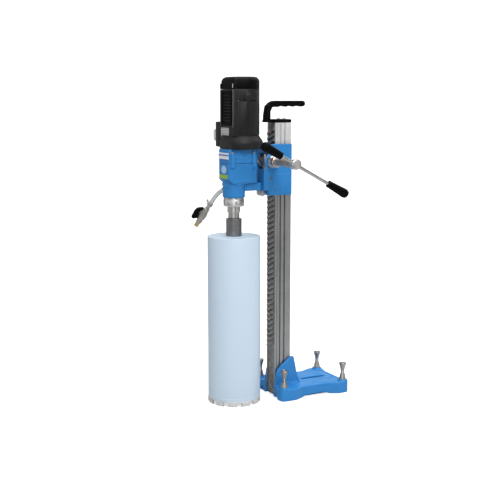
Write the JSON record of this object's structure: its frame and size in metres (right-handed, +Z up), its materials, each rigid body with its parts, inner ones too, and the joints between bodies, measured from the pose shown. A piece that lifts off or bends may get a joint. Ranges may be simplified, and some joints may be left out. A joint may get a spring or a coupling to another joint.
{
  "type": "core drill rig",
  "caption": "Wet diamond core drill on a rack-and-pinion stand: levelling base, column, carriage with a crank, motor and gearbox, core bit and water valve.",
  "frame": {"origin": "on the floor under the middle of the column, at the base's underside", "axes": "+Z up along the column, -Y from the column towards the drill, +X towards the crank"},
  "size_m": [0.319, 0.3922, 0.8748],
  "materials": {
    "blue_paint": "satin sprayed enamel, light blue",
    "column_aluminium": "drawn and brushed along its length",
    "dark_steel": "milled and oiled",
    "steel": "zinc plated, turned",
    "chrome": "polished",
    "brass": "bright",
    "copper": "lacquered windings",
    "carbon": "pressed carbon, dull",
    "motor_plastic": "moulded, fine grain",
    "grey_plastic": "moulded",
    "clear_plastic": "translucent, soft",
    "grip_rubber": "moulded grip",
    "bit_paint": "pale blue, matt",
    "segment": "sintered, grainy"
  },
  "bodies": {
    "stand": {"base_casting": "blue_paint", "column": "column_aluminium", "feed_rack": "dark_steel", "carry_handle": "grip_rubber", "column_bolt_left": "steel", "column_bolt_right": "steel", "lock_nut_1": "steel", "lock_nut_2": "steel", "lock_nut_3": "steel", "lock_nut_4": "steel"},
    "levelling_screw_1": {"levelling_screw_1": "steel"},
    "levelling_screw_2": {"levelling_screw_2": "steel"},
    "levelling_screw_3": {"levelling_screw_3": "steel"},
    "levelling_screw_4": {"levelling_screw_4": "steel"},
    "carriage": {"carriage_housing": "blue_paint", "glide_pad_left": "brass", "glide_pad_right": "brass", "crank_boss": "steel", "clamp_stud": "steel", "clamp_nut": "steel", "mounting_arm": "blue_paint", "mounting_block": "column_aluminium", "gearbox_upper": "blue_paint", "gearbox_lower": "blue_paint", "water_collar": "chrome", "spindle_bearing_lower": "steel", "spindle_bearing_upper": "steel", "motor_housing": "motor_plastic", "motor_cap": "motor_plastic", "motor_flange": "motor_plastic", "vent_grille": "motor_plastic", "stator": "dark_steel", "brush_left": "carbon", "brush_right": "carbon", "armature_bearing_lower": "steel", "armature_bearing_upper": "steel", "switch_box": "motor_plastic", "switch_cover": "clear_plastic", "cable_gland": "motor_plastic", "water_elbow": "brass", "water_hose": "clear_plastic", "hose_clamp": "steel", "water_valve": "steel", "valve_nozzle": "brass"},
    "crank": {"crank_shaft": "steel", "feed_pinion": "dark_steel", "crank_hub": "steel"},
    "tommy_bar": {"crank_bar": "chrome", "crank_grip_front": "grip_rubber", "crank_grip_rear": "grip_rubber"},
    "spindle": {"spindle": "steel", "spindle_gear": "dark_steel", "bit_hub": "dark_steel", "core_barrel": "bit_paint", "segment_crown": "segment"},
    "layshaft": {"layshaft_gear": "dark_steel"},
    "armature": {"armature": "copper", "cooling_fan": "grey_plastic"},
    "rocker": {"switch_rocker": "grip_rubber"},
    "valve_lever": {"valve_lever": "grip_rubber"}
  },
  "joints": [
    {"name": "carriage_feed", "type": "slide", "parent": "stand", "child": "carriage", "axis": [0, 0, 1], "range_m": [-0.44, 0.05]},
    {"name": "crank_turn", "type": "hinge", "parent": "carriage", "child": "crank", "pos_m": [0, -0.0425, 0.652], "axis": [1, 0, 0], "range_deg": [-181, 1584]},
    {"name": "bar_slide", "type": "slide", "parent": "crank", "child": "tommy_bar", "axis": [0, -0.8805, 0.4741], "range_m": [-0.028, 0.095]},
    {"name": "spindle_turn", "type": "hinge", "parent": "carriage", "child": "spindle", "pos_m": [0, -0.138, 0.5], "axis": [0, 0, 1], "continuous": true},
    {"name": "layshaft_turn", "type": "hinge", "parent": "carriage", "child": "layshaft", "pos_m": [0, -0.098, 0.65], "axis": [0, 0, 1], "continuous": true},
    {"name": "armature_turn", "type": "hinge", "parent": "carriage", "child": "armature", "pos_m": [0, -0.118, 0.77], "axis": [0, 0, 1], "continuous": true},
    {"name": "rocker_tilt", "type": "hinge", "parent": "carriage", "child": "rocker", "pos_m": [-0.075, -0.141, 0.721], "axis": [0, 1, 0], "range_deg": [-6, 6]},
    {"name": "valve_turn", "type": "hinge", "parent": "carriage", "child": "valve_lever", "pos_m": [-0.12042, -0.18181, 0.50991], "axis": [-0.7038, -0.2561, 0.6626], "range_deg": [0, 90]},
    {"name": "levelling_screw_1_travel", "type": "slide", "parent": "stand", "child": "levelling_screw_1", "axis": [0, 0, 1], "range_m": [-0.01, 0.01]},
    {"name": "levelling_screw_2_travel", "type": "slide", "parent": "stand", "child": "levelling_screw_2", "axis": [0, 0, 1], "range_m": [-0.01, 0.01]},
    {"name": "levelling_screw_3_travel", "type": "slide", "parent": "stand", "child": "levelling_screw_3", "axis": [0, 0, 1], "range_m": [-0.01, 0.01]},
    {"name": "levelling_screw_4_travel", "type": "slide", "parent": "stand", "child": "levelling_screw_4", "axis": [0, 0, 1], "range_m": [-0.01, 0.01]}
  ],
  "couplings": [
    {"joint": "crank_turn", "follows": "carriage_feed", "rad_per_m": -62.769},
    {"joint": "layshaft_turn", "follows": "spindle_turn", "ratio": -1.6667},
    {"joint": "armature_turn", "follows": "spindle_turn", "ratio": 5}
  ]
}
